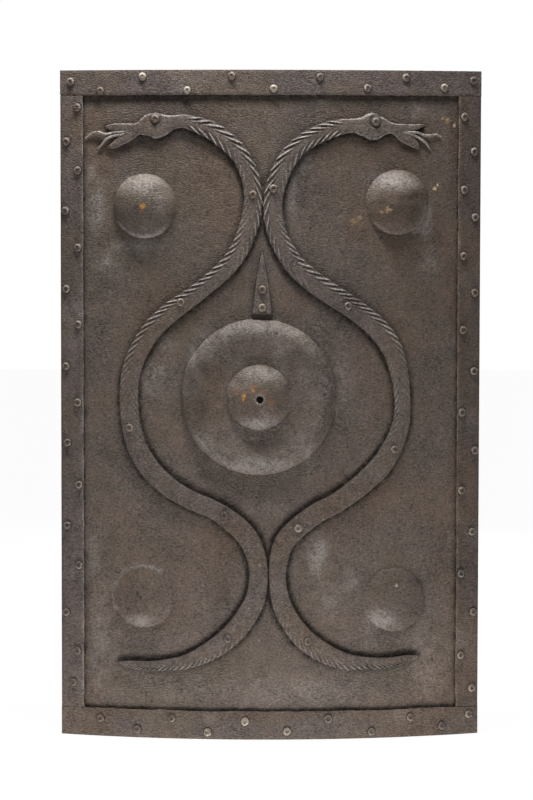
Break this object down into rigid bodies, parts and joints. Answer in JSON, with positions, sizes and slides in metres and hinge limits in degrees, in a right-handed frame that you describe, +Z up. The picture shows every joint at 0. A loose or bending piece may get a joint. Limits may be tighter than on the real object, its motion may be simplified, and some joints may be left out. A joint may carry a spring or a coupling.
{
  "type": "decorative shield",
  "caption": "Tall rolled iron shield with border straps, two riveted serpents, a raised medallion and corner bosses; hollow back with grip bar and hanging ring.",
  "frame": {"origin": "middle of the bottom strap's lower edge, halfway through the strap's thickness", "axes": "+X to the right as the face is seen, +Y through the shield to its hollow back, +Z up"},
  "size_m": [0.5672, 0.0789, 0.9],
  "materials": {
    "sheet": "hammered iron sheet, dark patina with brown patches",
    "strap": "forged iron strap, dark patina, rust along the edges",
    "serpent": "forged and chiselled iron, crown worn brighter",
    "rivet": "hammered rivet heads, worn tops",
    "black_iron": "black forged iron",
    "leather": "waxed brown leather, stitched"
  },
  "bodies": {
    "shield": {"shield_sheet": "sheet", "top_strap": "strap", "bottom_strap": "strap", "left_strap": "strap", "right_strap": "strap", "wedge_plate": "strap", "left_serpent": "serpent", "right_serpent": "serpent", "grip_bar": "black_iron", "ring_saddle": "black_iron", "grip_leather": "leather", "left_strap_rivet_01": "rivet", "left_strap_rivet_02": "rivet", "left_strap_rivet_03": "rivet", "left_strap_rivet_04": "rivet", "left_strap_rivet_05": "rivet", "left_strap_rivet_06": "rivet", "left_strap_rivet_07": "rivet", "left_strap_rivet_08": "rivet", "left_strap_rivet_09": "rivet", "left_strap_rivet_10": "rivet", "left_strap_rivet_11": "rivet", "left_strap_rivet_12": "rivet", "left_strap_rivet_13": "rivet", "left_strap_rivet_14": "rivet", "left_strap_rivet_15": "rivet", "left_strap_rivet_16": "rivet", "right_strap_rivet_01": "rivet", "right_strap_rivet_02": "rivet", "right_strap_rivet_03": "rivet", "right_strap_rivet_04": "rivet", "right_strap_rivet_05": "rivet", "right_strap_rivet_06": "rivet", "right_strap_rivet_07": "rivet", "right_strap_rivet_08": "rivet", "right_strap_rivet_09": "rivet", "right_strap_rivet_10": "rivet", "right_strap_rivet_11": "rivet", "right_strap_rivet_12": "rivet", "right_strap_rivet_13": "rivet", "right_strap_rivet_14": "rivet", "right_strap_rivet_15": "rivet", "right_strap_rivet_16": "rivet", "left_serpent_rivet_1": "rivet", "left_serpent_rivet_2": "rivet", "left_serpent_rivet_3": "rivet", "left_serpent_rivet_4": "rivet", "left_serpent_rivet_5": "rivet", "left_serpent_rivet_6": "rivet", "right_serpent_rivet_1": "rivet", "right_serpent_rivet_2": "rivet", "right_serpent_rivet_3": "rivet", "right_serpent_rivet_4": "rivet", "right_serpent_rivet_5": "rivet", "right_serpent_rivet_6": "rivet", "wedge_rivet_lower": "rivet", "wedge_rivet_upper": "rivet"},
    "ring": {"hanging_ring": "black_iron"}
  },
  "joints": [
    {"name": "ring_hinge", "type": "hinge", "parent": "shield", "child": "ring", "pos_m": [-0.01201, 0.00889, 0.59555], "axis": [0.9999, -0.0147, 0], "range_deg": [-1.5, 181.5]}
  ]
}
